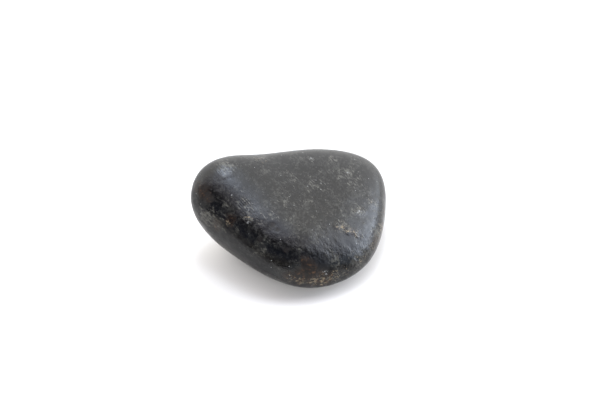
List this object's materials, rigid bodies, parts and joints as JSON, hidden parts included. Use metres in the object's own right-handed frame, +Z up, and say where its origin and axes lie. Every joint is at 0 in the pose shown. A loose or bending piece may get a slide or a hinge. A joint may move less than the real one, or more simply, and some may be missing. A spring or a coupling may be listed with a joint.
{
  "type": "tumbled black tourmaline stone",
  "caption": "Tumbled black tourmaline pebble with a broad sloping top, an overhanging blunt nose and a flat under it to rest on.",
  "frame": {"origin": "centre of the bounding box's footprint, on the surface that the stone rests on", "axes": "+X along the stone's length, away from the nose; +Y to the back; +Z up, square to the flat that it rests on"},
  "size_m": [0.032, 0.0266, 0.0152],
  "materials": {
    "polished_tourmaline": "soft polish with fine pits"
  },
  "bodies": {
    "root": {"black_tourmaline": "polished_tourmaline"}
  },
  "joints": []
}
